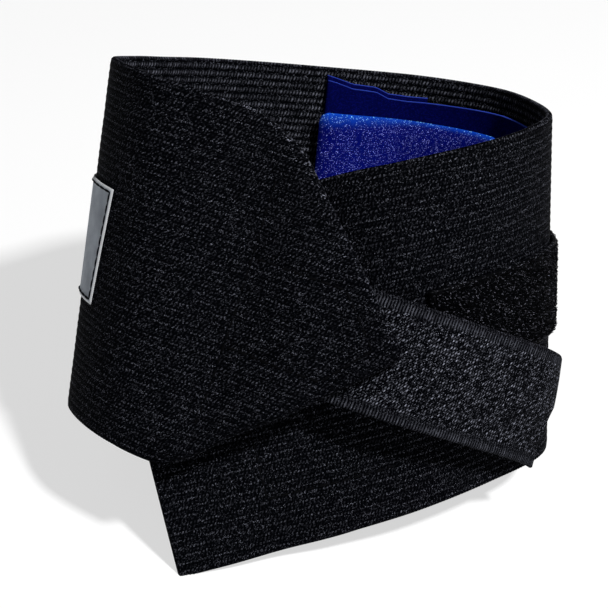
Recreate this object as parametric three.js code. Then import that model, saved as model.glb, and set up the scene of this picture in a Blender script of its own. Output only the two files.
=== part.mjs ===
import * as THREE from 'three';

// Wrist support: a wide elastic band wrapped on itself, closed by a strap, lined and padded inside.
// Sizes in millimetres, angles in degrees, +Z up, front towards -Y.

// Ribbed elastic band. "Along" runs from the inner end to the point, "across" runs up the width.
const BAND_WIDTH = 75;
const BAND_THICK = 1.8;
const BAND_HALF = BAND_WIDTH / 2;
const BAND_FACE = BAND_THICK / 2;
const INNER_END = -190;
const POINT_TIP = 136.5;
const POINT_START = POINT_TIP - BAND_HALF;
const POINT_NOSE = 1.2;
const UPPER_SHOULDER_ROUND = 28;
const LOWER_SHOULDER_ROUND = 14;
const FOLD_THICK = 1.5;
const FOLD_RAMP = 1.5;

// Small air gap between pieces that lie on each other, and the spacing of facets along all of them
const GAP = 0.3;
const PITCH = 3;

// Webbing strap sewn under the point
const STRAP_WIDTH = 25;
const STRAP_THICK = 1.4;
const STRAP_DROP = -2;
const STRAP_RISE = 0.02;
const STRAP_START = 103;
const STRAP_END = 186;

// Hook tab on the inner face of the strap
const HOOK_START = 142;
const HOOK_END = 172;
const HOOK_WIDTH = 20;
const HOOK_THICK = 1.7;

// Loop tape on the outside of the band
const LOOP_START = -126;
const LOOP_END = -67.5;
const LOOP_WIDTH = 20;
const LOOP_THICK = 2;

// Woven label on the outside of the band
const LABEL_START = 32.8;
const LABEL_END = 69.3;
const LABEL_HEIGHT = 25;
const LABEL_THICK = 0.8;

// Lining inside the band, its top corner at the back turned up
const LINING_START = -168;
const LINING_END = -9.5;
const LINING_LOW = -26;
const LINING_TOP = 32;
const LINING_CORNER_RISE = 3.5;
const LINING_CORNER_LENGTH = 20;
const LINING_THICK = 1.2;

// Pad in front of the lining
const PAD_START = -60.5;
const PAD_END = -7.5;
const PAD_LOW = -27;
const PAD_TOP = 27;
const PAD_EDGE = 2;
const PAD_THICK = 4.5;

// The wrap is a slender cone with its tip above the band.
// The band runs straight on the unrolled cone, so its two ends cross in front.
const CONE_TIP = 474;
const BAND_FROM_TIP = 470;
const HIGHEST_BEARING = 107;

// Plan of the wrap, from the inner end round the right side, the back and the left side to the strap's end.
// bearing: turn from the right side; reach: distance from the middle; flare: outward lean of the upper edge.
const WRAP = [
  { bearing: -165, reach: 43, flare: 0 },
  { bearing: -150, reach: 40.5, flare: 0 },
  { bearing: -120, reach: 25, flare: 1 },
  { bearing: -90, reach: 21.5, flare: 3.5 },
  { bearing: -60, reach: 25.5, flare: 5.5 },
  { bearing: -35, reach: 33.5, flare: 5.5 },
  { bearing: -15, reach: 43, flare: 4 },
  { bearing: 0, reach: 51.5, flare: 1 },
  { bearing: 15, reach: 53.5, flare: 0 },
  { bearing: 35, reach: 53.5, flare: 0.5 },
  { bearing: 60, reach: 47.5, flare: 1 },
  { bearing: 90, reach: 36, flare: 0.5 },
  { bearing: 120, reach: 33.5, flare: 0.5 },
  { bearing: 150, reach: 36.5, flare: 0.5 },
  { bearing: 168, reach: 40.5, flare: 0 },
  { bearing: 180, reach: 44, flare: 1.5 },
  { bearing: 192, reach: 49, flare: 1.5 },
  { bearing: 215, reach: 45, flare: 2 },
  { bearing: 245, reach: 31.5, flare: 2 },
  { bearing: 270, reach: 32, flare: 1 },
  { bearing: 300, reach: 37.5, flare: 1 },
  { bearing: 330, reach: 46, flare: 2.5 },
  { bearing: 350, reach: 55, flare: 6 },
  { bearing: 370, reach: 56, flare: 3 },
];
const STATIONS_PER_ROW = 24;

// How the wrap stands by itself: leaning back on its lower edge and the low corner of the inner end.
// The soft edge is pressed flat where it meets the floor.
const LEAN_BACK = 27;
const STAND_X = -3.2;
const STAND_Y = -0.5;
const STAND_Z = 47.5;

const radians = THREE.MathUtils.degToRad;
const coneTip = new THREE.Vector3(0, 0, CONE_TIP);

// Walk along the plan and note, at each station, the ray from the cone's tip and the angle unrolled so far.
function surveyWrap() {
  const knots = WRAP.map(({ bearing, reach, flare }) => {
    const turn = radians(bearing);
    return new THREE.Vector3(reach * Math.cos(turn), reach * Math.sin(turn), flare);
  });
  const plan = new THREE.CatmullRomCurve3(knots);
  const count = STATIONS_PER_ROW * (WRAP.length - 1);
  const stations = [];
  let unrolled = 0;
  let bearing = radians(WRAP[0].bearing);
  for (let i = 0; i <= count; i += 1) {
    const knot = plan.getPoint(i / count);
    const ray = new THREE.Vector3(knot.x, knot.y, 0).sub(coneTip).normalize();
    const last = stations[i - 1];
    if (last) {
      unrolled += ray.distanceTo(last.ray);
      bearing += Math.atan2(last.x * knot.y - last.y * knot.x, last.x * knot.x + last.y * knot.y);
    }
    stations.push({ x: knot.x, y: knot.y, flare: knot.z, ray, unrolled, bearing });
  }
  stations.forEach((station, i) => {
    const before = stations[Math.max(i - 1, 0)].ray;
    const after = stations[Math.min(i + 1, count)].ray;
    station.outward = station.ray.clone().cross(after.clone().sub(before)).normalize();
  });
  const highest = stations.find((station) => station.bearing >= radians(HIGHEST_BEARING)).unrolled;
  stations.forEach((station) => {
    station.unrolled -= highest;
  });
  return stations;
}

const stations = surveyWrap();

const stand = new THREE.Matrix4()
  .makeTranslation(STAND_X, STAND_Y, STAND_Z)
  .multiply(new THREE.Matrix4().makeRotationX(-radians(LEAN_BACK)));

// A place on the standing wrap: along and across the band, lifted off its middle layer.
function spot(along, across, lift) {
  const fromTip = BAND_FROM_TIP - across;
  const angle = Math.atan2(along, fromTip);
  let low = 0;
  let high = stations.length - 1;
  while (high - low > 1) {
    const middle = (low + high) >> 1;
    if (stations[middle].unrolled > angle) high = middle;
    else low = middle;
  }
  const before = stations[low];
  const after = stations[high];
  const share = (angle - before.unrolled) / (after.unrolled - before.unrolled);
  const ray = before.ray.clone().lerp(after.ray, share);
  const outward = before.outward.clone().lerp(after.outward, share);
  const flare = THREE.MathUtils.lerp(before.flare, after.flare, share);
  const place = coneTip.clone().addScaledVector(ray, Math.hypot(along, fromTip));
  place.addScaledVector(outward, lift + (flare * across) / BAND_HALF);
  place.applyMatrix4(stand);
  place.z = Math.max(place.z, 0);
  return place;
}

// Places along a sheet: its two ends, and every facet line shared by all sheets between them.
function stops(start, end) {
  const list = [start];
  for (let k = Math.ceil(start / PITCH + 0.2); k < end / PITCH - 0.2; k += 1) list.push(k * PITCH);
  list.push(end);
  return list;
}

// A closed sheet lying on the wrap. low and high bound its width at each place along it,
// inner and outer give the lift of its two faces.
function sheet(name, look, { start, end, rows, low, high, inner, outer }) {
  const list = stops(start, end);
  const steps = list.length - 1;
  const places = [];
  for (const face of [outer, inner]) {
    for (const along of list) {
      for (let j = 0; j <= rows; j += 1) {
        const across = THREE.MathUtils.lerp(low(along), high(along), j / rows);
        places.push(spot(along, across, face(along, across)));
      }
    }
  }
  const out = (i, j) => i * (rows + 1) + j;
  const back = (i, j) => (steps + 1) * (rows + 1) + out(i, j);
  const corners = [];
  const quad = (a, b, c, d) => corners.push(a, b, c, a, c, d);
  for (let i = 0; i < steps; i += 1) {
    for (let j = 0; j < rows; j += 1) {
      quad(out(i, j), out(i + 1, j), out(i + 1, j + 1), out(i, j + 1));
      quad(back(i, j), back(i, j + 1), back(i + 1, j + 1), back(i + 1, j));
    }
    quad(out(i, 0), back(i, 0), back(i + 1, 0), out(i + 1, 0));
    quad(out(i, rows), out(i + 1, rows), back(i + 1, rows), back(i, rows));
  }
  for (let j = 0; j < rows; j += 1) {
    quad(out(0, j), out(0, j + 1), back(0, j + 1), back(0, j));
    quad(out(steps, j), back(steps, j), back(steps, j + 1), out(steps, j + 1));
  }
  const shape = new THREE.BufferGeometry().setFromPoints(places);
  shape.setIndex(corners);
  shape.computeVertexNormals();
  const mesh = new THREE.Mesh(shape, new THREE.MeshStandardMaterial({ metalness: 0, ...look }));
  mesh.name = name;
  return mesh;
}

const level = (value) => () => value;

function makeBand() {
  const shoulder = POINT_TIP + POINT_NOSE - BAND_HALF;
  const half = (along, round) => {
    const before = round * Math.tan(radians(22.5));
    const arc = BAND_HALF - round + Math.sqrt(round ** 2 - Math.min(along - shoulder + before, round) ** 2);
    if (along < shoulder - before) return BAND_HALF;
    return along < shoulder + before * Math.SQRT1_2 ? arc : POINT_TIP + POINT_NOSE - along;
  };
  const ply = (along) => THREE.MathUtils.smoothstep(along, POINT_START, POINT_START + FOLD_RAMP);
  return sheet('band', { color: 0x1b1b1d, roughness: 0.9 }, {
    start: INNER_END,
    end: POINT_TIP,
    rows: 12,
    low: (along) => -half(along, LOWER_SHOULDER_ROUND),
    high: (along) => half(along, UPPER_SHOULDER_ROUND),
    outer: level(BAND_FACE),
    inner: (along) => -BAND_FACE - FOLD_THICK * ply(along),
  });
}

// The strap lies under the folded point and runs on at the same lift.
const STRAP_OUTER = -BAND_FACE - FOLD_THICK - GAP;
const STRAP_INNER = STRAP_OUTER - STRAP_THICK;
const strapMiddle = (along) => STRAP_DROP + STRAP_RISE * (along - STRAP_START);

function makeStrap() {
  return sheet('strap', { color: 0x34353a, roughness: 0.8 }, {
    start: STRAP_START,
    end: STRAP_END,
    rows: 5,
    low: (along) => strapMiddle(along) - STRAP_WIDTH / 2,
    high: (along) => strapMiddle(along) + STRAP_WIDTH / 2,
    outer: level(STRAP_OUTER),
    inner: level(STRAP_INNER),
  });
}

function makeHookTab() {
  return sheet('hook_tab', { color: 0x111113, roughness: 0.6 }, {
    start: HOOK_START,
    end: HOOK_END,
    rows: 4,
    low: (along) => strapMiddle(along) - HOOK_WIDTH / 2,
    high: (along) => strapMiddle(along) + HOOK_WIDTH / 2,
    outer: level(STRAP_INNER - GAP),
    inner: level(STRAP_INNER - GAP - HOOK_THICK),
  });
}

function makeLoopPatch() {
  return sheet('loop_patch', { color: 0x0e0e10, roughness: 1 }, {
    start: LOOP_START,
    end: LOOP_END,
    rows: 4,
    low: level(-LOOP_WIDTH / 2),
    high: level(LOOP_WIDTH / 2),
    outer: level(BAND_FACE + GAP + LOOP_THICK),
    inner: level(BAND_FACE + GAP),
  });
}

function makeLabel() {
  return sheet('label', { color: 0x9a9fa8, roughness: 0.7 }, {
    start: LABEL_START,
    end: LABEL_END,
    rows: 4,
    low: level(-LABEL_HEIGHT / 2),
    high: level(LABEL_HEIGHT / 2),
    outer: level(BAND_FACE + GAP + LABEL_THICK),
    inner: level(BAND_FACE + GAP),
  });
}

const LINING_OUTER = -BAND_FACE - GAP;
const LINING_INNER = LINING_OUTER - LINING_THICK;

function makeLining() {
  const corner = (along) => Math.max(0, 1 - (LINING_END - along) / LINING_CORNER_LENGTH);
  return sheet('lining', { color: 0x16266e, roughness: 0.8 }, {
    start: LINING_START,
    end: LINING_END,
    rows: 8,
    low: level(LINING_LOW),
    high: (along) => LINING_TOP + LINING_CORNER_RISE * corner(along),
    outer: level(LINING_OUTER),
    inner: level(LINING_INNER),
  });
}

function makePad() {
  const middle = (PAD_START + PAD_END) / 2;
  const halfLength = (PAD_END - PAD_START) / 2;
  const centre = (PAD_LOW + PAD_TOP) / 2;
  const halfHeight = (PAD_TOP - PAD_LOW) / 2;
  const crown = (share) => Math.sqrt(Math.max(0, 1 - share ** 8));
  const swell = (along, across) => crown((along - middle) / halfLength) * crown((across - centre) / halfHeight);
  return sheet('pad', { color: 0x2747c4, roughness: 0.95 }, {
    start: PAD_START,
    end: PAD_END,
    rows: 16,
    low: level(PAD_LOW),
    high: level(PAD_TOP),
    outer: level(LINING_INNER - GAP),
    inner: (along, across) => LINING_INNER - GAP - PAD_EDGE - (PAD_THICK - PAD_EDGE) * swell(along, across),
  });
}

const wristSupport = new THREE.Group();
wristSupport.name = 'wrist_support';
wristSupport.add(
  makeBand(),
  makeStrap(),
  makeHookTab(),
  makeLoopPatch(),
  makeLabel(),
  makeLining(),
  makePad(),
);

export default wristSupport;
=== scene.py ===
"""Looks of a wrist support: wrapped ribbed elastic with its strap, tapes, label, lining and pad."""
import math

import bmesh
import bpy
import numpy as np
from mathutils import Matrix, Vector


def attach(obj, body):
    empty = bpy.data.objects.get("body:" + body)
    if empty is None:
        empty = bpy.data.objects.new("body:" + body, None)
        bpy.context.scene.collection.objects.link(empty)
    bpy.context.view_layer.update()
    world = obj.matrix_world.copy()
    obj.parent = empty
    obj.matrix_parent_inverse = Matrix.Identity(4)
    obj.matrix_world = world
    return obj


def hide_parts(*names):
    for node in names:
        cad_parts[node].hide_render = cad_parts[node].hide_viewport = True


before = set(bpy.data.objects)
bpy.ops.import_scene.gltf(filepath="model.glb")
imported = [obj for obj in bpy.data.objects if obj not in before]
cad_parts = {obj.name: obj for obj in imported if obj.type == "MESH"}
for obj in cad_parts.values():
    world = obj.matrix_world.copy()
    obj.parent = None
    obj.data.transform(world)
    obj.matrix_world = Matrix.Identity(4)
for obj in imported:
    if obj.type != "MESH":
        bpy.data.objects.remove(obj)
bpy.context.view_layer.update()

# Sizes are in millimetres on the flat cut: along the band, across it, and lifted off its middle layer
MM = 0.001

# Ribbed elastic band, its pointed end folded under
BAND_WIDTH = 75
BAND_HALF = BAND_WIDTH / 2
BAND_FACE = 0.9
INNER_END = -190
POINT_TIP = 136.5
POINT_NOSE = 1.2
POINT_START = POINT_TIP - BAND_HALF
SHOULDER = POINT_START + POINT_NOSE
UPPER_SHOULDER_ROUND = 28
LOWER_SHOULDER_ROUND = 14
SHOULDER_ROUNDS = ((1, UPPER_SHOULDER_ROUND), (-1, LOWER_SHOULDER_ROUND))
SHOULDER_STEPS = 6
FOLD_THICK = 1.5
FOLD_RAMP = 1.5
FOLD_ROUND = 1.6
FOLD_EDGE = 0.1
FOLD_INSETS = (0.4, 0.9, FOLD_ROUND)
# Painted highlight along the point's upper fold and painted shade along its lower fold: their reaches in
# from the folds and spreads across the band in millimetres, and the strength of the shade
FOLD_PAINTED_HIGHLIGHT = 0.4
FOLD_PAINTED_SHADE = 1.2
PAINTED_HIGHLIGHT_SPREAD = 6
PAINTED_SHADE_SPREAD = 2
PAINTED_SHADE_SHARE = 0.35
FOLD_CURL = 5
CURL_REACH = 11
CURL_STOPS = (85, 99, 110, 124)
BAND_ROUND = 0.8
BAND_LIP = 0.3
BAND_CELL = 1.6
RIB_COUNT = 45
RIB_PITCH = BAND_WIDTH / RIB_COUNT
RIB_CELLS = 4
OUTER_RIB_DEPTH = 0.08
INNER_RIB_DEPTH = 0.28
BEAD_PITCH = 0.83
KNOT_PITCH = 0.79
SPARK_PITCH = 0.17
WOBBLE_SCALE = 0.5
SEAM_DIP = 0.45
SEAM_REACH = 1
SEAM_PROUD = 0.05
STITCH_LENGTH = 2.2
STITCH_GAP = 0.5
STITCH_THICK = 0.5
EDGE_LOOP_LENGTH = 0.62
EDGE_LOOP_SHAPE = (1, 0.55, 1.25)
EDGE_LOOP_INSET = 0.22

# Seams on the elastic, as bent lines: base of the point, box that holds the strap, end of the lining
BAND_SEAMS = (
    ((101.6, 25.5), (101.6, -27.9)),
    ((102, 9.2), (121.7, 9.2), (130.5, -0.6), (122.8, -10), (102, -10)),
    ((-168, 31), (-168, -25.6), (-139, -25.6)),
)

# Webbing strap sewn under the point
GAP = 0.3
STRAP_WIDTH = 25
STRAP_DROP = -2
STRAP_RISE = 0.02
STRAP_START = 103
STRAP_END = 186
STRAP_OUTER = -BAND_FACE - FOLD_THICK - GAP
STRAP_THICK = 1.4
STRAP_INNER = STRAP_OUTER - STRAP_THICK
STRAP_CELL = 0.5
STRAP_ROUND = 0.5
STRAP_TUCK = 1.7
TUCK_TOP = 1.5
TUCK_DEPTH = 12
TUCK_FROM = 140
TUCK_FULL = 172
SELVEDGE = 2.5
PICK_PITCH = 0.71
TWILL_ROW = 0.74

# Hook tab on the inner face of the strap
HOOK_START = 142
HOOK_END = 172
HOOK_WIDTH = 20
HOOK_BASE = 0.7
HOOK_OUTER = STRAP_INNER - GAP
HOOK_CELL = 1
HOOK_ROUND = 0.3
HOOK_MARGIN = 1
HOOK_SINK = 0.1
HOOK_BEND = 230
HOOK_STEPS = 6
HOOK_RADIUS = 0.45
HOOK_WIRE = 0.12
HOOK_PITCH_ALONG = 1.8
HOOK_PITCH_ACROSS = 1.4

# Loop tape on the outside of the band
LOOP_START = -126
LOOP_END = -67.5
LOOP_WIDTH = 20
LOOP_INNER = BAND_FACE + GAP
LOOP_BASE = 1.0
LOOP_CELL = 0.8
LOOP_ROUND = 0.5
LOOP_SEAM = 0.9
LOOP_STITCH_THICK = 0.45
PILE_DRAW = 11
PILE_COUNT = 6000
PILE_MARGIN = 0.6
PILE_SINK = 0.15
PILE_LIFT = 0.2
PILE_SIZES = (0.7, 1.35)
PILE_STEPS = 5
PILE_RADIUS = 0.3
PILE_WIRE = 0.05

# Woven label, its edges folded under
LABEL_START = 32.8
LABEL_END = 69.3
LABEL_HEIGHT = 25
LABEL_GAP = 0.1
LABEL_INNER = BAND_FACE + LABEL_GAP
LABEL_THICK = 0.45
LABEL_CELL = 0.5
LABEL_ROUND = 0.4
LABEL_HEM = 1.3
LABEL_HEM_SLOPE = 0.5
LABEL_HEM_RISE = 0.15
LABEL_RIM = 0.65
LABEL_SEAM = 0.85
LABEL_STITCH = 2.6
LABEL_STITCH_RUN = 2.3
LABEL_STITCH_THICK = 0.55
LABEL_STITCH_SINK = 0.05

# Lining of two thin layers; the hind layer shows above the front one at the back
LINING_START = -168
LINING_END = -10
LINING_LOW = -26
LINING_OUTER = -BAND_FACE - GAP
LINING_LAYER = 0.5
LINING_STEP = 0.7
LINING_RIM = 0.3
LINING_ROWS = 58
LINING_STOPS = (-60, -36, -31, -26, -22.7, -16.5, -12, LINING_END)
LINING_TOPS = (32, 31.4, 31.2, 31.4, 32.7, 33, 34.2, 34.6)
HIND_START = -36
HIND_RISE = 1.1

# Pad in front of the lining
PAD_START = -60.5
PAD_END = -8
PAD_LOW = -27
PAD_TOP = 27
PAD_OUTER = LINING_OUTER - LINING_STEP - LINING_LAYER - GAP
PAD_THICK = 4.5
PAD_SLACK = 0.96
PAD_ROUND = 2
PAD_ROUND_STEPS = 3
# Painted highlight along the pad's top edge: how far down it reaches at the pad's end, how far before the
# line where it starts to widen, and how it fades
PAD_PAINTED_HIGHLIGHT = 4.5
PAD_PAINTED_HIGHLIGHT_FAR = 1.3
PAD_PAINTED_HIGHLIGHT_FROM = -36
PAD_PAINTED_HIGHLIGHT_FADE = 1.5
PAD_FLAT_BACK = 0.55

# The cloth simulator fills the pad's cover at ten times its size, in metres
BLOW_SCALE = 10 * MM
BLOW_CELL = 0.007
BLOW_PRESSURE = 4
BLOW_FRAMES = 20
BLOW_REACH = 0.014
BLOW_SIDEWAYS = 0.4

# The wrap is a slender cone with its tip above the band, which runs straight on the unrolled cone
CONE_TIP = np.array((0, 0, 474.0))
BAND_FROM_TIP = 470
HIGHEST_BEARING = 107
STATIONS_PER_ROW = 24

# bearing: turn from the right side; reach: distance from the middle; flare: outward lean of the upper edge
WRAP = np.array(
    [
        (-165, 43, 0), (-150, 40.5, 0), (-120, 25, 1), (-90, 21.5, 3.5), (-60, 25.5, 5.5), (-35, 33.5, 5.5),
        (-15, 43, 4), (0, 51.5, 1), (15, 53.5, 0), (35, 53.5, 0.5), (60, 47.5, 1), (90, 36, 0.5),
        (120, 33.5, 0.5), (150, 36.5, 0.5), (168, 40.5, 0), (180, 44, 1.5), (192, 49, 1.5), (215, 45, 2),
        (245, 31.5, 2), (270, 32, 1), (300, 37.5, 1), (330, 46, 2.5), (350, 55, 6), (370, 56, 3),
    ],
    dtype=[("bearing", float), ("reach", float), ("flare", float)],
)

# How the wrap stands by itself, leaning back
LEAN_BACK = 27
STAND = (-3.2, -0.5, 47.5)
stand = Matrix.Translation(STAND) @ Matrix.Rotation(-math.radians(LEAN_BACK), 4, "X")
turned = np.array(stand.to_3x3())


def curve_through(knots, steps):
    """Points of a smooth open curve through the knots, with that many steps from each knot to the next."""
    knots = np.vstack([2 * knots[0] - knots[1], knots, 2 * knots[-1] - knots[-2]])
    share = np.arange(steps)[:, None] / steps
    points = []
    for before, start, end, after in zip(knots, knots[1:], knots[2:], knots[3:]):
        pairs = ((before, start), (start, end), (end, after))
        near, span, far = (math.sqrt(np.linalg.norm(b - a)) for a, b in pairs)
        leave = (start - before) / near - (end - before) / (near + span) + (end - start) / span
        arrive = (end - start) / span - (after - start) / (span + far) + (after - end) / far
        leave, arrive = leave * span, arrive * span
        square = -3 * start + 3 * end - 2 * leave - arrive
        cube = 2 * start - 2 * end + leave + arrive
        points.append(start + leave * share + square * share**2 + cube * share**3)
    return np.vstack([*points, knots[-2:-1]])


def survey_wrap():
    """Stations round the wrap: ray from the cone's tip, outward side, flare, and angle unrolled so far."""
    turn = np.radians(WRAP["bearing"])
    knots = np.stack([WRAP["reach"] * np.cos(turn), WRAP["reach"] * np.sin(turn), WRAP["flare"]], axis=1)
    plan = curve_through(knots, STATIONS_PER_ROW)
    ray = plan * (1, 1, 0) - CONE_TIP
    ray /= np.linalg.norm(ray, axis=1)[:, None]
    unrolled = np.concatenate([[0], np.cumsum(np.linalg.norm(np.diff(ray, axis=0), axis=1))])
    bearing = np.unwrap(np.arctan2(plan[:, 1], plan[:, 0]))
    bearing += turn[0] - bearing[0]
    unrolled -= unrolled[np.argmax(bearing >= math.radians(HIGHEST_BEARING))]
    padded_rays = np.vstack([ray[:1], ray, ray[-1:]])
    outward = np.cross(ray, padded_rays[2:] - padded_rays[:-2])
    outward /= np.linalg.norm(outward, axis=1)[:, None]
    return unrolled, np.hstack([ray, outward, plan[:, 2:]])


unrolled, stations = survey_wrap()


def on_wrap(cut):
    """Places in metres on the standing wrap, for rows of along, across and lift on the flat cut."""
    along, across, lift = np.asarray(cut, float).T
    from_tip = BAND_FROM_TIP - across
    angle = np.arctan2(along, from_tip)
    here = np.stack([np.interp(angle, unrolled, column) for column in stations.T], axis=1)
    ray, outward, flare = here[:, :3], here[:, 3:6], here[:, 6]
    place = CONE_TIP + ray * np.hypot(along, from_tip)[:, None]
    place += outward * (lift + flare * across / BAND_HALF)[:, None]
    place = place @ turned.T + STAND
    place[:, 2] = np.maximum(place[:, 2], 0)
    return place * MM


# Node wiring


def feed(tree, socket, value):
    """Links another node's output to a socket, or sets its value."""
    if isinstance(value, bpy.types.NodeSocket):
        tree.links.new(value, socket)
    else:
        socket.default_value = value


def calc(tree, operation, *values):
    """The result of a math node."""
    node = tree.nodes.new("ShaderNodeMath")
    node.operation = operation
    for socket, value in zip(node.inputs, values):
        feed(tree, socket, value)
    return node.outputs[0]


def blend(tree, share, first, second):
    """A colour between two colours; a share over one goes on past the second."""
    node = tree.nodes.new("ShaderNodeMix")
    node.data_type = "RGBA"
    node.clamp_factor = False
    for label, value in (("Factor_Float", share), ("A_Color", first), ("B_Color", second)):
        feed(tree, next(s for s in node.inputs if s.identifier == label), value)
    return next(s for s in node.outputs if s.identifier == "Result_Color")


def between(tree, share, first, second):
    """A value between two values."""
    return calc(tree, "MULTIPLY_ADD", share, calc(tree, "SUBTRACT", second, first), first)


def part_of(tree, place, axis):
    """One number of a place."""
    node = tree.nodes.new("ShaderNodeSeparateXYZ")
    feed(tree, node.inputs[0], place)
    return node.outputs[axis]


def noise(tree, place, scale, detail):
    """The value of a noise texture, about one half on average."""
    node = tree.nodes.new("ShaderNodeTexNoise")
    feed(tree, node.inputs["Vector"], place)
    node.inputs["Scale"].default_value = scale
    node.inputs["Detail"].default_value = detail
    return node.outputs[0]


def cut_place(tree):
    """The place on the flat cut, in millimetres."""
    node = tree.nodes.new("ShaderNodeAttribute")
    node.attribute_name = "cut"
    return node.outputs["Vector"]


def painted_light_share(tree):
    """How much painted light a piece carries here, up to one at its edge: painted highlight on the
    elastic's upper fold, the lining's top edges and the pad's top edge, and painted shade below zero on the
    elastic's lower fold.
    """
    node = tree.nodes.new("ShaderNodeAttribute")
    node.attribute_name = "rim"
    return node.outputs["Fac"]


def new_group(name, inputs, outputs):
    """An empty shader group with named inputs and outputs, and its two end nodes."""
    group = bpy.data.node_groups.new(name, "ShaderNodeTree")
    for label, kind in inputs:
        group.interface.new_socket(label, in_out="INPUT", socket_type=kind)
    for label in outputs:
        group.interface.new_socket(label, in_out="OUTPUT", socket_type="NodeSocketFloat")
    return group, group.nodes.new("NodeGroupInput").outputs, group.nodes.new("NodeGroupOutput").inputs


def use_group(tree, group, **values):
    """Places a group in a material; underscores in the names of its inputs stand for spaces."""
    node = tree.nodes.new("ShaderNodeGroup")
    node.node_tree = group
    for label, value in values.items():
        feed(tree, node.inputs[label.replace("_", " ")], value)
    return node.outputs


def thread_cells_group():
    """Rows of slanted threads, each with a dome and a chance of its own; the glint puts both together."""
    sizes = ("Pitch Along", "Pitch Across", "Slant", "Stagger", "Zigzag", "Wobble", "Flatness")
    shines = ("Sharpness", "Luck", "Gain", "Least")
    group, given, put = new_group(
        "thread_cells",
        [("Cut", "NodeSocketVector"), *((label, "NodeSocketFloat") for label in sizes + shines)],
        ("Dome", "Ridge", "Hump", "Glint"),
    )
    split = group.nodes.new("ShaderNodeSeparateXYZ")
    feed(group, split.inputs[0], given["Cut"])
    across = calc(group, "DIVIDE", split.outputs["Y"], given["Pitch Across"])
    row = calc(group, "FLOOR", across)
    up = calc(group, "FRACT", across)
    along = calc(group, "DIVIDE", split.outputs["X"], given["Pitch Along"])
    along = calc(group, "MULTIPLY_ADD", row, given["Stagger"], along)
    along = calc(group, "MULTIPLY_ADD", calc(group, "FLOORED_MODULO", row, 2.0), given["Zigzag"], along)
    along = calc(group, "MULTIPLY_ADD", up, given["Slant"], along)
    wander = noise(group, given["Cut"], WOBBLE_SCALE, 1.0)
    along = calc(group, "MULTIPLY_ADD", wander, given["Wobble"], along)
    column = calc(group, "FLOOR", along)
    forth = calc(group, "FRACT", along)
    ridge = calc(group, "SINE", calc(group, "MULTIPLY", up, math.pi))
    hump = calc(group, "SINE", calc(group, "MULTIPLY", forth, math.pi))
    dome = calc(group, "MULTIPLY", between(group, given["Flatness"], ridge, 1.0), hump)
    cell = group.nodes.new("ShaderNodeCombineXYZ")
    feed(group, cell.inputs["X"], column)
    feed(group, cell.inputs["Y"], row)
    chance = group.nodes.new("ShaderNodeTexWhiteNoise")
    feed(group, chance.inputs["Vector"], cell.outputs[0])
    luck = calc(group, "POWER", chance.outputs["Value"], given["Luck"])
    shine = calc(group, "MULTIPLY_ADD", luck, given["Gain"], given["Least"])
    feed(group, put["Dome"], dome)
    feed(group, put["Ridge"], ridge)
    feed(group, put["Hump"], hump)
    crest = calc(group, "POWER", dome, given["Sharpness"])
    feed(group, put["Glint"], calc(group, "MULTIPLY", crest, shine))
    return group


def nap_group():
    """Brushed nap: fine fibres and broader patches of lie."""
    group, given, put = new_group(
        "nap", [("Place", "NodeSocketVector"), ("Fineness", "NodeSocketFloat")], ("Fibre", "Patch")
    )
    stretched = group.nodes.new("ShaderNodeVectorMath")
    stretched.operation = "SCALE"
    feed(group, stretched.inputs[0], given["Place"])
    feed(group, stretched.inputs["Scale"], given["Fineness"])
    feed(group, put["Fibre"], noise(group, stretched.outputs[0], 3.0, 3.0))
    feed(group, put["Patch"], noise(group, stretched.outputs[0], 0.35, 2.0))
    return group


thread_cells = thread_cells_group()
nap = nap_group()


def new_look(name, roughness, specular, sheen=0.0, sheen_tint=(1, 1, 1, 1)):
    """A material, its node tree and its shader."""
    look = bpy.data.materials.new(name)
    look.use_nodes = True
    shader = look.node_tree.nodes["Principled BSDF"]
    shader.inputs["Roughness"].default_value = roughness
    shader.inputs["Specular IOR Level"].default_value = specular
    shader.inputs["Sheen Weight"].default_value = sheen
    shader.inputs["Sheen Tint"].default_value = sheen_tint
    return look, look.node_tree, shader


def set_surface(tree, shader, colour, height, relief):
    """Wires a colour and a bump of that relief in millimetres into the shader."""
    feed(tree, shader.inputs["Base Color"], colour)
    bump = tree.nodes.new("ShaderNodeBump")
    bump.inputs["Distance"].default_value = relief * MM
    feed(tree, bump.inputs["Height"], height)
    feed(tree, shader.inputs["Normal"], bump.outputs["Normal"])


# Colour between the threads of the elastic and the webbing
GROOVE_BLACK = (0.0002, 0.0003, 0.0008, 1)


def sparks_on(tree, cut, slant, luck, gain):
    """Fine fibres of a thread that catch the light here and there."""
    sparks = use_group(
        tree, thread_cells, Cut=cut, Pitch_Along=SPARK_PITCH, Pitch_Across=SPARK_PITCH,
        Slant=slant, Stagger=0.31, Sharpness=1.5, Luck=luck, Gain=gain, Least=0.0,
    )
    return sparks["Glint"]


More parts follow.
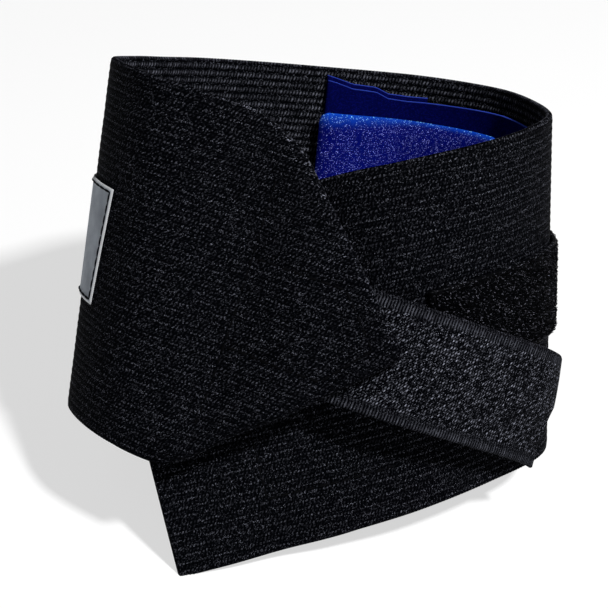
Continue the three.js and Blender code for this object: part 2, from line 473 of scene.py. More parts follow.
def elastic_look():
    """Black ribbed elastic: two rows of glinting knots on every rib outside, a row of beads inside."""
    look, tree, shader = new_look("ribbed_elastic", roughness=0.7, specular=0.008)
    cut = cut_place(tree)
    beads = use_group(
        tree, thread_cells, Cut=cut, Pitch_Along=BEAD_PITCH, Pitch_Across=RIB_PITCH,
        Slant=0.6, Stagger=0.37, Sharpness=3.8, Luck=2.0, Gain=3.0, Least=0.7,
    )
    knots = use_group(
        tree, thread_cells, Cut=cut, Pitch_Along=KNOT_PITCH, Pitch_Across=RIB_PITCH / 2,
        Slant=-0.5, Stagger=0.03, Zigzag=0.32, Wobble=0.6, Flatness=0.3,
        Sharpness=5.0, Luck=2.0, Gain=0.9, Least=0.14,
    )
    sparks = sparks_on(tree, cut, -0.5, 20.0, 7.4)
    # Painted light and shade across the ribs: one flank of each rib lighter, the other darker
    turn = calc(tree, "SINE", calc(tree, "MULTIPLY", part_of(tree, cut, "Y"), 2 * math.pi / RIB_PITCH))
    rib_painted_light = calc(tree, "MULTIPLY_ADD", turn, 0.6, 1.0)
    rows = calc(tree, "MULTIPLY", calc(tree, "ADD", knots["Glint"], sparks), rib_painted_light)
    # Painted highlight near the point's upper fold and painted shade near its lower fold
    wear_and_painted_light = calc(tree, "MULTIPLY_ADD", painted_light_share(tree), 2.5, 1.0)
    outside = calc(tree, "MULTIPLY", rows, wear_and_painted_light)
    face = calc(tree, "GREATER_THAN", part_of(tree, cut, "Z"), 0.0)
    inside = calc(tree, "ADD", beads["Glint"], sparks)
    tone = between(tree, face, inside, outside)
    knotted = calc(tree, "MULTIPLY_ADD", beads["Ridge"], 0.5, knots["Dome"])
    height = between(tree, face, beads["Dome"], knotted)
    colour = blend(tree, tone, GROOVE_BLACK, (0.031, 0.032, 0.04, 1))
    set_surface(tree, shader, colour, height, 0.14)
    return look


def webbing_look():
    """Charcoal webbing: slanted picks gathered in a twill, between two selvedges of fine cross bars."""
    look, tree, shader = new_look("twill_webbing", roughness=0.6, specular=0.006)
    cut = cut_place(tree)
    picks = use_group(
        tree, thread_cells, Cut=cut, Pitch_Along=PICK_PITCH, Pitch_Across=TWILL_ROW,
        Slant=-0.5, Wobble=0.3, Flatness=0.7, Sharpness=6.5, Luck=3.0, Gain=4.0, Least=0.04,
    )
    sparks = sparks_on(tree, cut, -0.5, 18.0, 6.6)
    floats = use_group(
        tree, thread_cells, Cut=cut, Pitch_Along=4 * PICK_PITCH, Pitch_Across=TWILL_ROW,
        Slant=-0.5, Stagger=-0.5,
    )
    bars = use_group(
        tree, thread_cells, Cut=cut, Pitch_Along=PICK_PITCH, Pitch_Across=SELVEDGE,
        Slant=-0.3, Flatness=0.7, Sharpness=4.0, Luck=2.0, Gain=0.6, Least=0.3,
    )
    off_middle = calc(tree, "ABSOLUTE", calc(tree, "SUBTRACT", part_of(tree, cut, "Y"), STRAP_DROP))
    edge = calc(tree, "GREATER_THAN", off_middle, STRAP_WIDTH / 2 - SELVEDGE)
    twill = calc(tree, "ADD", picks["Glint"], sparks)
    twill = calc(tree, "MULTIPLY", twill, calc(tree, "MULTIPLY_ADD", floats["Hump"], 0.8, 0.2))
    dome = between(tree, edge, picks["Dome"], bars["Dome"])
    tone = between(tree, edge, twill, calc(tree, "MULTIPLY_ADD", sparks, 0.4, bars["Glint"]))
    colour = blend(tree, tone, GROOVE_BLACK, (0.07, 0.073, 0.09, 1))
    set_surface(tree, shader, colour, dome, 0.18)
    return look


def pile_look(name, darker, bright):
    """Loop pile and hooks: black nylon, a filament here and there catching the light."""
    look, tree, shader = new_look(name, roughness=0.6, specular=0.02)
    sparks = sparks_on(tree, cut_place(tree), 0.5, 26.0, 8.0)
    feed(tree, shader.inputs["Base Color"], blend(tree, sparks, darker, bright))
    return look


def thread_look(name, colour, bright):
    """Sewing thread of slanted plies."""
    look, tree, shader = new_look(name, roughness=0.6, specular=0.02)
    ply = use_group(tree, thread_cells, Cut=cut_place(tree), Pitch_Along=0.25, Pitch_Across=0.3, Slant=1.0)
    set_surface(tree, shader, blend(tree, ply["Dome"], colour, bright), ply["Dome"], 0.05)
    return look


def label_look():
    """Grey woven label with paler, slightly ragged folded edges."""
    look, tree, shader = new_look("woven_label", roughness=0.6, specular=0.2)
    cut = cut_place(tree)
    weave = use_group(tree, thread_cells, Cut=cut, Pitch_Along=0.28, Pitch_Across=0.22, Stagger=0.5)
    crumple = use_group(tree, nap, Place=cut, Fineness=0.8)
    up = calc(tree, "ABSOLUTE", part_of(tree, cut, "Y"))
    middle = (LABEL_START + LABEL_END) / 2
    off_middle = calc(tree, "ABSOLUTE", calc(tree, "SUBTRACT", part_of(tree, cut, "X"), middle))
    from_edge = calc(
        tree, "MINIMUM",
        calc(tree, "SUBTRACT", LABEL_HEIGHT / 2, up),
        calc(tree, "SUBTRACT", (LABEL_END - LABEL_START) / 2, off_middle),
    )
    ragged = calc(tree, "MULTIPLY_ADD", crumple["Patch"], 0.4, from_edge)
    rim = calc(tree, "LESS_THAN", ragged, LABEL_RIM)
    wear_and_painted_light = calc(tree, "MULTIPLY_ADD", crumple["Patch"], 1.2, calc(tree, "MULTIPLY", weave["Dome"], 0.4))
    cloth = blend(tree, wear_and_painted_light, (0.115, 0.13, 0.156, 1), (0.33, 0.365, 0.415, 1))
    pale = blend(tree, weave["Dome"], (0.38, 0.39, 0.41, 1), (0.6, 0.61, 0.63, 1))
    set_surface(tree, shader, blend(tree, rim, cloth, pale), weave["Dome"], 0.06)
    return look


def lining_look():
    """Smooth dark blue knit, with a painted highlight along its top edges."""
    look, tree, shader = new_look("smooth_lining", roughness=0.7, specular=0.005)
    knit = use_group(
        tree, thread_cells, Cut=cut_place(tree), Pitch_Along=0.35, Pitch_Across=0.3,
        Slant=0.5, Stagger=0.5, Sharpness=1.0, Luck=2.0, Gain=1.4, Least=0.5,
    )
    cloth = blend(tree, knit["Glint"], (0.0002, 0.0006, 0.019, 1), (0.0018, 0.003, 0.078, 1))
    # Painted highlight: the top edges turn paler blue
    edge = calc(tree, "POWER", painted_light_share(tree), 2.0)
    set_surface(tree, shader, blend(tree, edge, cloth, (0.03, 0.06, 0.4, 1)), knit["Dome"], 0.06)
    return look


def pad_look():
    """Bright blue brushed knit over foam, flecked with lighter fibres, with a patchy painted highlight
    along its top edge.
    """
    look, tree, shader = new_look(
        "brushed_pad", roughness=0.8, specular=0.01, sheen=0.15, sheen_tint=(0.02, 0.1, 0.9, 1)
    )
    cut = cut_place(tree)
    fuzz = use_group(tree, nap, Place=cut, Fineness=1.6)
    flecks = use_group(
        tree, thread_cells, Cut=cut, Pitch_Along=0.17, Pitch_Across=0.16,
        Slant=0.4, Stagger=0.37, Sharpness=1.5, Luck=20.0, Gain=4.6, Least=0.0,
    )
    # Painted highlight along the top edge, patchy: ground and flecks turn paler blue there
    uneven = calc(tree, "MULTIPLY_ADD", fuzz["Patch"], 1.2, 0.4)
    patchy_painted_highlight = calc(tree, "MULTIPLY", painted_light_share(tree), uneven)
    ground = blend(tree, fuzz["Fibre"], (0.0001, 0.0002, 0.003, 1), (0.0005, 0.001, 0.25, 1))
    ground = blend(tree, patchy_painted_highlight, ground, (0.004, 0.06, 0.55, 1))
    fleck = blend(tree, patchy_painted_highlight, (0.24, 0.27, 0.85, 1), (0.22, 0.6, 1, 1))
    colour = blend(tree, flecks["Glint"], ground, fleck)
    height = calc(tree, "MULTIPLY_ADD", flecks["Dome"], 0.4, fuzz["Fibre"])
    set_surface(tree, shader, colour, height, 0.3)
    return look


elastic = elastic_look()
webbing = webbing_look()
loop_pile = pile_look("loop_pile", (0.0003, 0.0004, 0.0008, 1), (0.058, 0.058, 0.072, 1))
hook_nylon = pile_look("hook_nylon", (0.003, 0.003, 0.004, 1), (0.03, 0.03, 0.033, 1))
black_thread = thread_look("black_thread", (0.0004, 0.0004, 0.0006, 1), (0.003, 0.003, 0.004, 1))
label_cloth = label_look()
lining_knit = lining_look()
pad_knit = pad_look()


# Cutting and laying cloth


def cut_sheet(start, end, low, high, pitch_along, pitch_across):
    """A flat sheet of cloth on a grid, x along the band and y across it."""
    sheet = bmesh.new()
    columns, rows = round((end - start) / pitch_along), round((high - low) / pitch_across)
    bmesh.ops.create_grid(sheet, x_segments=columns, y_segments=rows, size=0.5)
    bmesh.ops.scale(sheet, vec=(end - start, high - low, 1), verts=sheet.verts)
    bmesh.ops.translate(sheet, vec=((start + end) / 2, (low + high) / 2, 0), verts=sheet.verts)
    return sheet


def crease(sheet, point, normal, trim=False):
    """A row of edges across the sheet; with trim, the cloth beyond it is cut away."""
    whole = sheet.verts[:] + sheet.edges[:] + sheet.faces[:]
    bmesh.ops.bisect_plane(
        sheet, geom=whole, dist=0.002, plane_co=(*point, 0), plane_no=(*normal, 0), clear_outer=trim
    )


def places_of(mesh):
    """A mesh's points as rows of numbers."""
    places = np.empty(len(mesh.vertices) * 3)
    mesh.vertices.foreach_get("co", places)
    return places.reshape(-1, 3)


def lay(name, mesh, cut, look, pattern=None, rim=None):
    """Makes a piece of a mesh by laying its points on the wrap. The pattern follows the flat cut."""
    # The rim attribute carries painted light near edges: highlight above zero, shade below
    if rim is not None:
        edge = mesh.attributes.new("rim", "FLOAT", "POINT")
        edge.data.foreach_set("value", rim.astype(np.float32))
    mark = mesh.attributes.new("cut", "FLOAT_VECTOR", "POINT")
    mark.data.foreach_set("vector", (cut if pattern is None else pattern).astype(np.float32).ravel())
    mesh.vertices.foreach_set("co", on_wrap(cut).astype(np.float32).ravel())
    mesh.materials.append(look)
    mesh.shade_smooth()
    mesh.update()
    piece = bpy.data.objects.new(name, mesh)
    bpy.context.scene.collection.objects.link(piece)
    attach(piece, "root")
    return piece


def two_faced(name, sheet):
    """The sheet as a closed mesh with an outer and an inner face, and which points are on the outer one."""
    bmesh.ops.solidify(sheet, geom=sheet.faces[:], thickness=1)
    mesh = bpy.data.meshes.new(name)
    sheet.to_mesh(mesh)
    sheet.free()
    cut = places_of(mesh)
    return mesh, cut, cut[:, 2] > -0.5


def rounded(depth, reach, left=0.3):
    """Share of the thickness at a depth in from a rounded edge; left is the share at the edge itself."""
    short = np.clip(1 - depth / reach, 0, 1)
    return left + (1 - left) * np.sqrt(1 - short**2)


def faces_at(outer, top, bottom, share):
    """Lifts of two faces that draw together towards the sheet's edges."""
    middle = (top + bottom) / 2
    return middle + (np.where(outer, top, bottom) - middle) * share


def tuck(along, off_middle):
    """How far the strap bends in at its lower edge, towards its end."""
    onward = np.clip((along - TUCK_FROM) / (TUCK_FULL - TUCK_FROM), 0, 1)
    down = np.clip((TUCK_TOP - off_middle) / TUCK_DEPTH, 0, 1)
    return STRAP_TUCK * onward**2 * (3 - 2 * onward) * (1 - (1 - down) ** 2)


def plain_sheet(name, start, end, low, high, pitch, top, bottom, edge, look, turn=0):
    """A rectangular sheet with rounded edges. With a turn it follows the strap, climbing by that share."""
    sheet = cut_sheet(start, end, low, high, pitch, pitch)
    for inset in (0.3 * edge, edge):
        crease(sheet, (start + inset, 0), (1, 0))
        crease(sheet, (end - inset, 0), (1, 0))
        crease(sheet, (0, low + inset), (0, 1))
        crease(sheet, (0, high - inset), (0, 1))
    mesh, cut, outer = two_faced(name, sheet)
    along, across = cut[:, 0], cut[:, 1]
    depth = np.minimum.reduce([along - start, end - along, across - low, high - across])
    cut[:, 2] = faces_at(outer, top, bottom, rounded(depth, edge))
    pattern = cut.copy()
    if turn:
        cut[:, 2] -= tuck(along, across - STRAP_DROP)
        cut[:, 1] += turn * (along - STRAP_START)
    return lay(name, mesh, cut, look, pattern)


def repeat(name, seed, spots, look, one_tone=False):
    """Copies of a small seed shape. A spot is along, across, lift, turn and size."""
    bmesh.ops.triangulate(seed, faces=seed.faces[:])
    seed.verts.index_update()
    shape = np.array([v.co for v in seed.verts])
    corners = np.array([[v.index for v in f.verts] for f in seed.faces])
    seed.free()
    spots = np.asarray(spots, float)
    cosine, sine = np.cos(spots[:, 3]), np.sin(spots[:, 3])
    sized = shape[None] * spots[:, 4, None, None]
    cut = np.stack(
        [
            sized[..., 0] * cosine[:, None] - sized[..., 1] * sine[:, None],
            sized[..., 0] * sine[:, None] + sized[..., 1] * cosine[:, None],
            sized[..., 2],
        ],
        axis=-1,
    )
    cut = (cut + spots[:, None, :3]).reshape(-1, 3)
    faces = (corners[None] + len(shape) * np.arange(len(spots))[:, None, None]).reshape(-1, 3)
    mesh = bpy.data.meshes.new(name)
    mesh.from_pydata(cut, [], faces)
    pattern = np.repeat(spots[:, :3], len(shape), axis=0) if one_tone else None
    return lay(name, mesh, cut, look, pattern)


# Seeds of small shapes


def stitch_seed(length, thick):
    """One stitch: a plump spindle of thread."""
    seed = bmesh.new()
    bmesh.ops.create_uvsphere(seed, u_segments=8, v_segments=5, radius=0.5)
    bmesh.ops.rotate(seed, verts=seed.verts, matrix=Matrix.Rotation(math.pi / 2, 3, "Y"))
    bmesh.ops.scale(seed, vec=(length, thick, thick), verts=seed.verts)
    return seed


def arch_seed(radius, wire, angle, steps):
    """A bent filament that springs from the cloth: a pile loop, or with a shorter angle a hook."""
    seed = bmesh.new()
    ring = bmesh.ops.create_circle(seed, segments=3, radius=wire, cap_ends=False)
    bmesh.ops.translate(seed, verts=ring["verts"], vec=(radius, 0, 0))
    bmesh.ops.spin(
        seed, geom=seed.edges[:], cent=(0, 0, 0), axis=(0, -1, 0), angle=angle, steps=steps, use_merge=False
    )
    bmesh.ops.recalc_face_normals(seed, faces=seed.faces)
    return seed


def stitch_row(path, lift, length, gap):
    """Spots of stitches along a bent line of points on the cut."""
    spots = []
    for (a, c), (next_a, next_c) in zip(path, path[1:]):
        run = math.hypot(next_a - a, next_c - c)
        turn = math.atan2(next_c - c, next_a - a)
        count = max(1, round(run / (length + gap)))
        for k in range(count):
            share = (k + 0.5) / count
            spots.append((a + (next_a - a) * share, c + (next_c - c) * share, lift, turn, 1))
    return spots


def round_seam(start, end, low, high, inset):
    """The closed path of a seam round a rectangle, set in from its edges."""
    start, end, low, high = start + inset, end - inset, low + inset, high - inset
    return [(start, low), (end, low), (end, high), (start, high), (start, low)]


def from_path(along, across, path):
    """Distance of places on the cut from a bent line of points."""
    least = np.full(along.shape, np.inf)
    for (a, c), (next_a, next_c) in zip(path, path[1:]):
        run_a, run_c = next_a - a, next_c - c
        share = ((along - a) * run_a + (across - c) * run_c) / (run_a**2 + run_c**2)
        share = np.clip(share, 0, 1)
        least = np.minimum(least, np.hypot(along - a - share * run_a, across - c - share * run_c))
    return least


# Pieces


def shoulder_start(radius):
    """Where the rounding of a shoulder starts, along the band."""
    return SHOULDER - radius * math.tan(math.pi / 8)


def point_cuts():
    """Lines that cut the point: a place and the outward side of each, round both shoulders to the folds."""
    cuts = []
    for side, radius in SHOULDER_ROUNDS:
        centre = np.array((shoulder_start(radius), BAND_HALF - radius))
        for turn in np.radians(np.linspace(0, 45, SHOULDER_STEPS + 1)[1:]):
            outward = np.array((math.sin(turn), math.cos(turn)))
            cuts.append(((centre + radius * outward) * (1, side), outward * (1, side)))
    return cuts


def curl(places):
    """Curls the point's lower fold outwards; the cloth that this takes up draws the edge in."""
    place, outward = point_cuts()[-1]
    to_fold = (place - places[:, :2]) @ outward
    room = np.interp(places[:, 0], CURL_STOPS, (0, 1, 1, 0))
    rise = FOLD_CURL * room * np.exp(-((to_fold / CURL_REACH) ** 2))
    places[:, :2] -= np.outer(rise**2 / (2 * CURL_REACH), outward)
    places[:, 2] += rise


def make_band():
    """The elastic: ribbed on both faces, cut to a point whose corners are folded under."""
    sheet = cut_sheet(INNER_END, POINT_TIP, -BAND_HALF, BAND_HALF, BAND_CELL, RIB_PITCH / RIB_CELLS)
    cuts = point_cuts()
    for place, outward in cuts:
        crease(sheet, place, outward, trim=True)
    for place, outward in (cuts[SHOULDER_STEPS - 1], cuts[-1]):
        for inset in FOLD_INSETS:
            crease(sheet, place - inset * outward, outward)
    for stop in (INNER_END + BAND_LIP, INNER_END + BAND_ROUND, POINT_START, POINT_START + FOLD_RAMP):
        crease(sheet, (stop, 0), (1, 0))
    mesh, cut, outer = two_faced("band", sheet)
    along, across = cut[:, 0], cut[:, 1]
    ply = np.clip((along - POINT_START) / FOLD_RAMP, 0, 1)
    groove = np.cos(np.pi * across / RIB_PITCH) ** 2
    off_seams = [from_path(along, across, seam) / SEAM_REACH for seam in BAND_SEAMS]
    dip = SEAM_DIP * sum(np.exp(-(off**2)) for off in off_seams)
    top = BAND_FACE - OUTER_RIB_DEPTH * groove - dip
    bottom = -BAND_FACE + INNER_RIB_DEPTH * groove * (1 - ply) - FOLD_THICK * ply
    to_fold = np.min([(place - cut[:, :2]) @ outward for place, outward in cuts], axis=0)
    share = rounded(np.minimum(BAND_HALF - np.abs(across), along - INNER_END), BAND_ROUND)
    share = np.where(along > POINT_START, rounded(to_fold, FOLD_ROUND, left=FOLD_EDGE), share)
    cut[:, 2] = faces_at(outer, top, bottom, share)
    pattern = cut.copy()
    folded = ~outer & (along > POINT_START + FOLD_RAMP / 2)
    pattern[folded, 0] = POINT_TIP - np.abs(across[folded])
    pattern[folded, 1] = np.sign(across[folded]) * (POINT_TIP - along[folded])
    # Painted highlight along the upper fold and painted shade along the lower fold, fading in from the
    # folds
    wear_and_painted_light = np.clip(across / PAINTED_HIGHLIGHT_SPREAD, 0, 1) * np.exp(-to_fold / FOLD_PAINTED_HIGHLIGHT)
    darker = np.clip(-across / PAINTED_SHADE_SPREAD, 0, 1) * np.exp(-to_fold / FOLD_PAINTED_SHADE)
    curl(cut)
    band = lay("band", mesh, cut, elastic, pattern, rim=wear_and_painted_light - PAINTED_SHADE_SHARE * darker)
    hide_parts("band")
    return band


def make_edge_loops():
    """Turns of thread along both long edges of the elastic, which give it a scalloped edge."""
    seed = stitch_seed(EDGE_LOOP_LENGTH, 1)
    bmesh.ops.scale(seed, vec=EDGE_LOOP_SHAPE, verts=seed.verts)
    spots = []
    for side, radius in SHOULDER_ROUNDS:
        stops = np.arange(INNER_END + BEAD_PITCH, shoulder_start(radius), BEAD_PITCH)
        spots += [(stop, side * (BAND_HALF - EDGE_LOOP_INSET), 0, 0, 1) for stop in stops]
    spots = np.array(spots)
    curl(spots)
    return repeat("band_edge_loops", seed, spots, elastic)


def make_strap():
    """The webbing strap, its lower edge bent in towards its end."""
    low, high = STRAP_DROP - STRAP_WIDTH / 2, STRAP_DROP + STRAP_WIDTH / 2
    strap = plain_sheet(
        "strap", STRAP_START, STRAP_END, low, high, STRAP_CELL, STRAP_OUTER, STRAP_INNER, STRAP_ROUND,
        webbing, turn=STRAP_RISE,
    )
    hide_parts("strap")
    return strap


def make_hook_tab():
    """The hook tape on the inner face of the strap, with its rows of hooks."""
    low, high = STRAP_DROP - HOOK_WIDTH / 2, STRAP_DROP + HOOK_WIDTH / 2
    bottom = HOOK_OUTER - HOOK_BASE
    tab = plain_sheet(
        "hook_tab", HOOK_START, HOOK_END, low, high, HOOK_CELL, HOOK_OUTER, bottom, HOOK_ROUND,
        hook_nylon, turn=STRAP_RISE,
    )
    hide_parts("hook_tab")
    seed = arch_seed(HOOK_RADIUS, HOOK_WIRE, math.radians(HOOK_BEND), HOOK_STEPS)
    bmesh.ops.rotate(seed, verts=seed.verts, matrix=Matrix.Rotation(math.pi, 3, "X"))
    spots = []
    for along in np.arange(HOOK_START + HOOK_MARGIN, HOOK_END - HOOK_MARGIN / 2, HOOK_PITCH_ALONG):
        climb = STRAP_RISE * (along - STRAP_START)
        for across in np.arange(low + HOOK_MARGIN, high - HOOK_MARGIN / 2, HOOK_PITCH_ACROSS):
            lift = bottom - HOOK_SINK - tuck(along, across - STRAP_DROP)
            spots.append((along, across + climb, lift, 0, 1))
    hooks = repeat("hook_rows", seed, spots, hook_nylon, one_tone=True)
    return tab, hooks


def make_loop_patch():
    """The loop tape: a woven ground and a dense pile of small loops leaning every way."""
    top, half = LOOP_INNER + LOOP_BASE, LOOP_WIDTH / 2
    patch = plain_sheet(
        "loop_patch", LOOP_START, LOOP_END, -half, half, LOOP_CELL, top, LOOP_INNER, LOOP_ROUND,
        loop_pile,
    )
    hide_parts("loop_patch")
    chance = np.random.default_rng(PILE_DRAW)
    spots = np.stack(
        [
            chance.uniform(LOOP_START + PILE_MARGIN, LOOP_END - PILE_MARGIN, PILE_COUNT),
            chance.uniform(-half + PILE_MARGIN, half - PILE_MARGIN, PILE_COUNT),
            chance.uniform(top - PILE_SINK, top + PILE_LIFT, PILE_COUNT),
            chance.uniform(0, 2 * math.pi, PILE_COUNT),
            chance.uniform(*PILE_SIZES, PILE_COUNT),
        ],
        axis=1,
    )
    seed = arch_seed(PILE_RADIUS, PILE_WIRE, math.pi, PILE_STEPS)
    pile = repeat("loop_pile", seed, spots, loop_pile)
    return patch, pile


def make_label():
    """The label, thicker along its folded edges, with a seam of black stitches."""
    low, high = -LABEL_HEIGHT / 2, LABEL_HEIGHT / 2
    sheet = cut_sheet(LABEL_START, LABEL_END, low, high, LABEL_CELL, LABEL_CELL)
    mesh, cut, outer = two_faced("label", sheet)
    along, across = cut[:, 0], cut[:, 1]
    depth = np.minimum.reduce([along - LABEL_START, LABEL_END - along, across - low, high - across])
    hem = np.clip((LABEL_HEM - depth) / LABEL_HEM_SLOPE, 0, 1)
    top = LABEL_INNER + LABEL_THICK - LABEL_HEM_RISE * (1 - hem)
    cut[:, 2] = faces_at(outer, top, LABEL_INNER, rounded(depth, LABEL_ROUND))
    label = lay("label", mesh, cut, label_cloth)
    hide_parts("label")
    seam = round_seam(LABEL_START, LABEL_END, low, high, LABEL_SEAM)
    spots = stitch_row(seam, LABEL_INNER + LABEL_THICK - LABEL_STITCH_SINK, LABEL_STITCH_RUN, 0)
    seed = stitch_seed(LABEL_STITCH, LABEL_STITCH_THICK)
    return label, repeat("label_seam", seed, spots, black_thread)


def lining_top(along):
    """Height of the lining's top edge, bumpy and turned up at the back."""
    return np.interp(along, LINING_STOPS, LINING_TOPS)


def make_lining_layer(name, start, rise, top):
    """One thin layer of lining, up to the given rise above the top edge."""
    sheet = cut_sheet(start, LINING_END, 0, 1, 1, 1 / LINING_ROWS)
    crease(sheet, (0, 1 - LINING_RIM / LINING_ROWS), (0, 1))
    mesh, cut, outer = two_faced(name, sheet)
    # The top row of points carries the painted highlight along the lining's top edge
    rim = cut[:, 1] > 0.999
    cut[:, 1] = LINING_LOW + cut[:, 1] * (lining_top(cut[:, 0]) + rise - LINING_LOW)
    cut[:, 2] = np.where(outer, top, top - LINING_LAYER)
    return lay(name, mesh, cut, lining_knit, rim=rim)


def make_lining():
    """The lining's front layer, and the hind layer that shows above it."""
    front = make_lining_layer("lining", LINING_START, 0, LINING_OUTER - LINING_STEP)
    hind = make_lining_layer("lining_hind_layer", HIND_START, HIND_RISE, LINING_OUTER)
    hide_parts("lining")
    return front, hind


def evaluated_mesh(piece):
    """A new mesh of the piece with its modifiers applied."""
    return bpy.data.meshes.new_from_object(piece.evaluated_get(bpy.context.evaluated_depsgraph_get()))


def swap_mesh(piece, mesh):
    """Gives a piece another mesh, and drops its old mesh and its modifiers."""
    old = piece.data
    piece.modifiers.clear()
    piece.data = mesh
    bpy.data.meshes.remove(old)


def sew_cover():
    """The pad's cover laid flat: a closed shell of even cells, slightly smaller than the finished pad."""
    shell = bmesh.new()
    bmesh.ops.create_cube(shell, size=1)
    size = Vector((PAD_END - PAD_START, PAD_TOP - PAD_LOW, PAD_THICK)) * PAD_SLACK * BLOW_SCALE
    bmesh.ops.scale(shell, vec=size, verts=shell.verts)
    bmesh.ops.bevel(
        shell, geom=shell.edges[:], offset=PAD_ROUND * BLOW_SCALE, offset_type="OFFSET",
        segments=PAD_ROUND_STEPS, profile=0.5, affect="EDGES", material=-1,
    )
    mesh = bpy.data.meshes.new("pad_cover")
    shell.to_mesh(mesh)
    shell.free()
    cover = bpy.data.objects.new("pad_cover", mesh)
    bpy.context.scene.collection.objects.link(cover)
    cells = cover.modifiers.new("cells", "REMESH")
    cells.mode = "VOXEL"
    cells.voxel_size = BLOW_CELL
    swap_mesh(cover, evaluated_mesh(cover))
    return cover


def fill_cover(cover):
    """Fills the cover with the cloth simulator. No point of it moves further than a set reach."""
    cloth = cover.modifiers.new("cloth", "CLOTH")
    cloth.settings.use_pressure = True
    cloth.settings.uniform_pressure_force = BLOW_PRESSURE
    cloth.settings.effector_weights.gravity = 0
    scene = bpy.context.scene
    for number in range(1, BLOW_FRAMES + 1):
        scene.frame_set(number)
    filled = evaluated_mesh(cover)
    flat = places_of(cover.data)
    move = places_of(filled) - flat
    far = np.linalg.norm(move, axis=1)[:, None]
    kept = np.minimum(1, BLOW_REACH / np.maximum(far, BLOW_REACH))
    places = flat + move * kept * (BLOW_SIDEWAYS, BLOW_SIDEWAYS, 1)
    filled.vertices.foreach_set("co", places.astype(np.float32).ravel())
    swap_mesh(cover, filled)
    scene.frame_set(1)


def make_pad():
    """The foam pad under its brushed cover, flat at the back where it lies on the lining."""
    cover = sew_cover()
    fill_cover(cover)
    finer = cover.modifiers.new("finer", "SUBSURF")
    finer.levels = finer.render_levels = 1
    mesh = evaluated_mesh(cover)
    swap_mesh(cover, mesh)
    bpy.data.objects.remove(cover)
    mesh.name = "pad"
    places = places_of(mesh)
    places -= (places.max(axis=0) + places.min(axis=0)) / 2
    share = places / places.max(axis=0)
    cut = np.stack(
        [
            (PAD_START + PAD_END) / 2 + share[:, 0] * (PAD_END - PAD_START) / 2,
            (PAD_LOW + PAD_TOP) / 2 + share[:, 1] * (PAD_TOP - PAD_LOW) / 2,
            PAD_OUTER - PAD_THICK * np.clip((share[:, 2] + PAD_FLAT_BACK) / (1 + PAD_FLAT_BACK), 0, 1),
        ],
        axis=1,
    )
    # Painted highlight along the top edge, narrow towards the start and widest at the pad's end
    reach = np.interp(cut[:, 0], (PAD_PAINTED_HIGHLIGHT_FROM, PAD_END), (PAD_PAINTED_HIGHLIGHT_FAR, PAD_PAINTED_HIGHLIGHT))
    painted_highlight = np.clip(1 - (PAD_TOP - cut[:, 1]) / reach, 0, 1) ** PAD_PAINTED_HIGHLIGHT_FADE
    pad = lay("pad", mesh, cut, pad_knit, rim=painted_highlight)
    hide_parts("pad")
    return pad


def make_seams():
    """Rows of black stitches sunk in the elastic."""
    lift = BAND_FACE - SEAM_DIP + SEAM_PROUD
    spots = np.vstack([stitch_row(seam, lift, STITCH_LENGTH, STITCH_GAP) for seam in BAND_SEAMS])
    curl(spots)
    seed = stitch_seed(STITCH_LENGTH, STITCH_THICK)
    return repeat("band_seams", seed, spots, black_thread)


def make_patch_seam():
    """The seam round the loop tape."""
    path = round_seam(LOOP_START, LOOP_END, -LOOP_WIDTH / 2, LOOP_WIDTH / 2, LOOP_SEAM)
    spots = stitch_row(path, LOOP_INNER + LOOP_BASE + SEAM_PROUD, STITCH_LENGTH, STITCH_GAP)
    seed = stitch_seed(STITCH_LENGTH, LOOP_STITCH_THICK)
    return repeat("loop_patch_seam", seed, spots, black_thread)


band = make_band()
edge_loops = make_edge_loops()
seams = make_seams()
strap = make_strap()
hook_tab, hook_rows = make_hook_tab()
loop_patch, pile = make_loop_patch()
patch_seam = make_patch_seam()
label, label_seam = make_label()
lining, hind_layer = make_lining()
pad = make_pad()


# Stage

# The camera is placed from the wrap's own upright frame, in millimetres
CAMERA_TARGET = Vector((-1.2, 0, -10))
CAMERA_DISTANCE = 325
CAMERA_RISE = math.radians(8.7)
CAMERA_TURN = math.radians(1)
CAMERA_ROLL = math.radians(4.8)
CAMERA_LENS = 86.45

# Lights and floor, in metres and watts
LIT_PLACE = (0, 0, 0.045)
KEY_PLACE = (0.467, -0.392, 1.02)
KEY_SIZE = 0.1
KEY_POWER = 17.8
FILL_PLACE = (-0.6, -0.5, 1.0)
FILL_SIZE = 0.9
FILL_POWER = 0.9
SKY_STRENGTH = 0.12
FLOOR_HALF = 4
FLOOR_TONE = (0.32, 0.32, 0.32, 1)
FLOOR_GLOW = 0.64


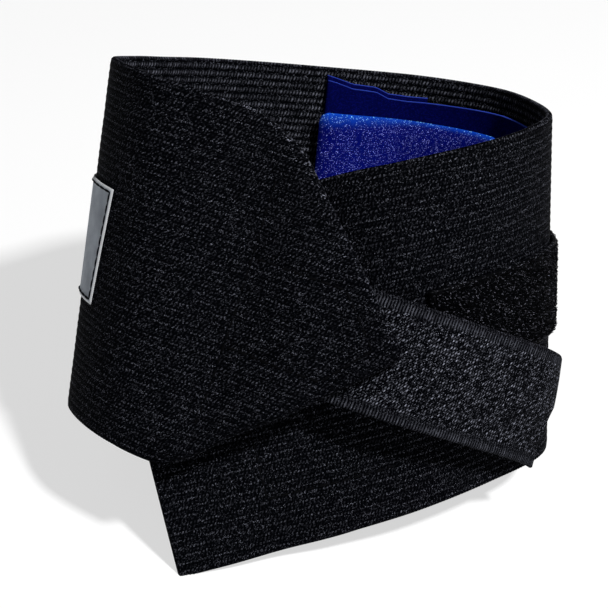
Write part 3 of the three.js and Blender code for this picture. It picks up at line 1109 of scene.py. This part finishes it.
def make_camera():
    """The camera at the photograph's angle."""
    flat = math.cos(CAMERA_RISE)
    look = Vector((math.sin(CAMERA_TURN) * flat, math.cos(CAMERA_TURN) * flat, -math.sin(CAMERA_RISE)))
    level = Vector((math.cos(CAMERA_TURN), -math.sin(CAMERA_TURN), 0))
    upright = level.cross(look)
    right = level * math.cos(CAMERA_ROLL) + upright * math.sin(CAMERA_ROLL)
    up = upright * math.cos(CAMERA_ROLL) - level * math.sin(CAMERA_ROLL)
    axes = stand.to_3x3() @ Matrix((right, up, -look)).transposed()
    camera = bpy.data.objects.new("camera", bpy.data.cameras.new("camera"))
    camera.data.lens = CAMERA_LENS
    camera.data.clip_start = 0.01
    place = stand @ (CAMERA_TARGET - look * CAMERA_DISTANCE) * MM
    camera.matrix_world = Matrix.Translation(place) @ axes.to_4x4()
    bpy.context.scene.collection.objects.link(camera)
    bpy.context.scene.camera = camera


def make_light(name, place, size, power):
    """A soft square light that faces the part."""
    lamp = bpy.data.lights.new(name, "AREA")
    lamp.size = size
    lamp.energy = power
    light = bpy.data.objects.new(name, lamp)
    light.location = place
    light.rotation_mode = "QUATERNION"
    light.rotation_quaternion = (Vector(LIT_PLACE) - Vector(place)).to_track_quat("-Z", "Y")
    bpy.context.scene.collection.objects.link(light)


def make_floor():
    """A plain pale floor: a light table, which glows evenly."""
    sheet = bmesh.new()
    bmesh.ops.create_grid(sheet, x_segments=1, y_segments=1, size=FLOOR_HALF)
    mesh = bpy.data.meshes.new("floor")
    sheet.to_mesh(mesh)
    sheet.free()
    look, _, shader = new_look("floor", roughness=0.9, specular=0.1)
    shader.inputs["Base Color"].default_value = FLOOR_TONE
    shader.inputs["Emission Color"].default_value = (1, 1, 1, 1)
    shader.inputs["Emission Strength"].default_value = FLOOR_GLOW
    mesh.materials.append(look)
    floor = bpy.data.objects.new("floor", mesh)
    bpy.context.scene.collection.objects.link(floor)


def make_world():
    """Even pale light all round."""
    world = bpy.data.worlds.new("studio")
    world.use_nodes = True
    sky = world.node_tree.nodes["Background"]
    sky.inputs["Color"].default_value = (1, 1, 1, 1)
    sky.inputs["Strength"].default_value = SKY_STRENGTH
    bpy.context.scene.world = world


make_camera()
make_floor()
make_world()
make_light("key", KEY_PLACE, KEY_SIZE, KEY_POWER)
make_light("fill", FILL_PLACE, FILL_SIZE, FILL_POWER)
bpy.context.scene.view_settings.view_transform = "Standard"
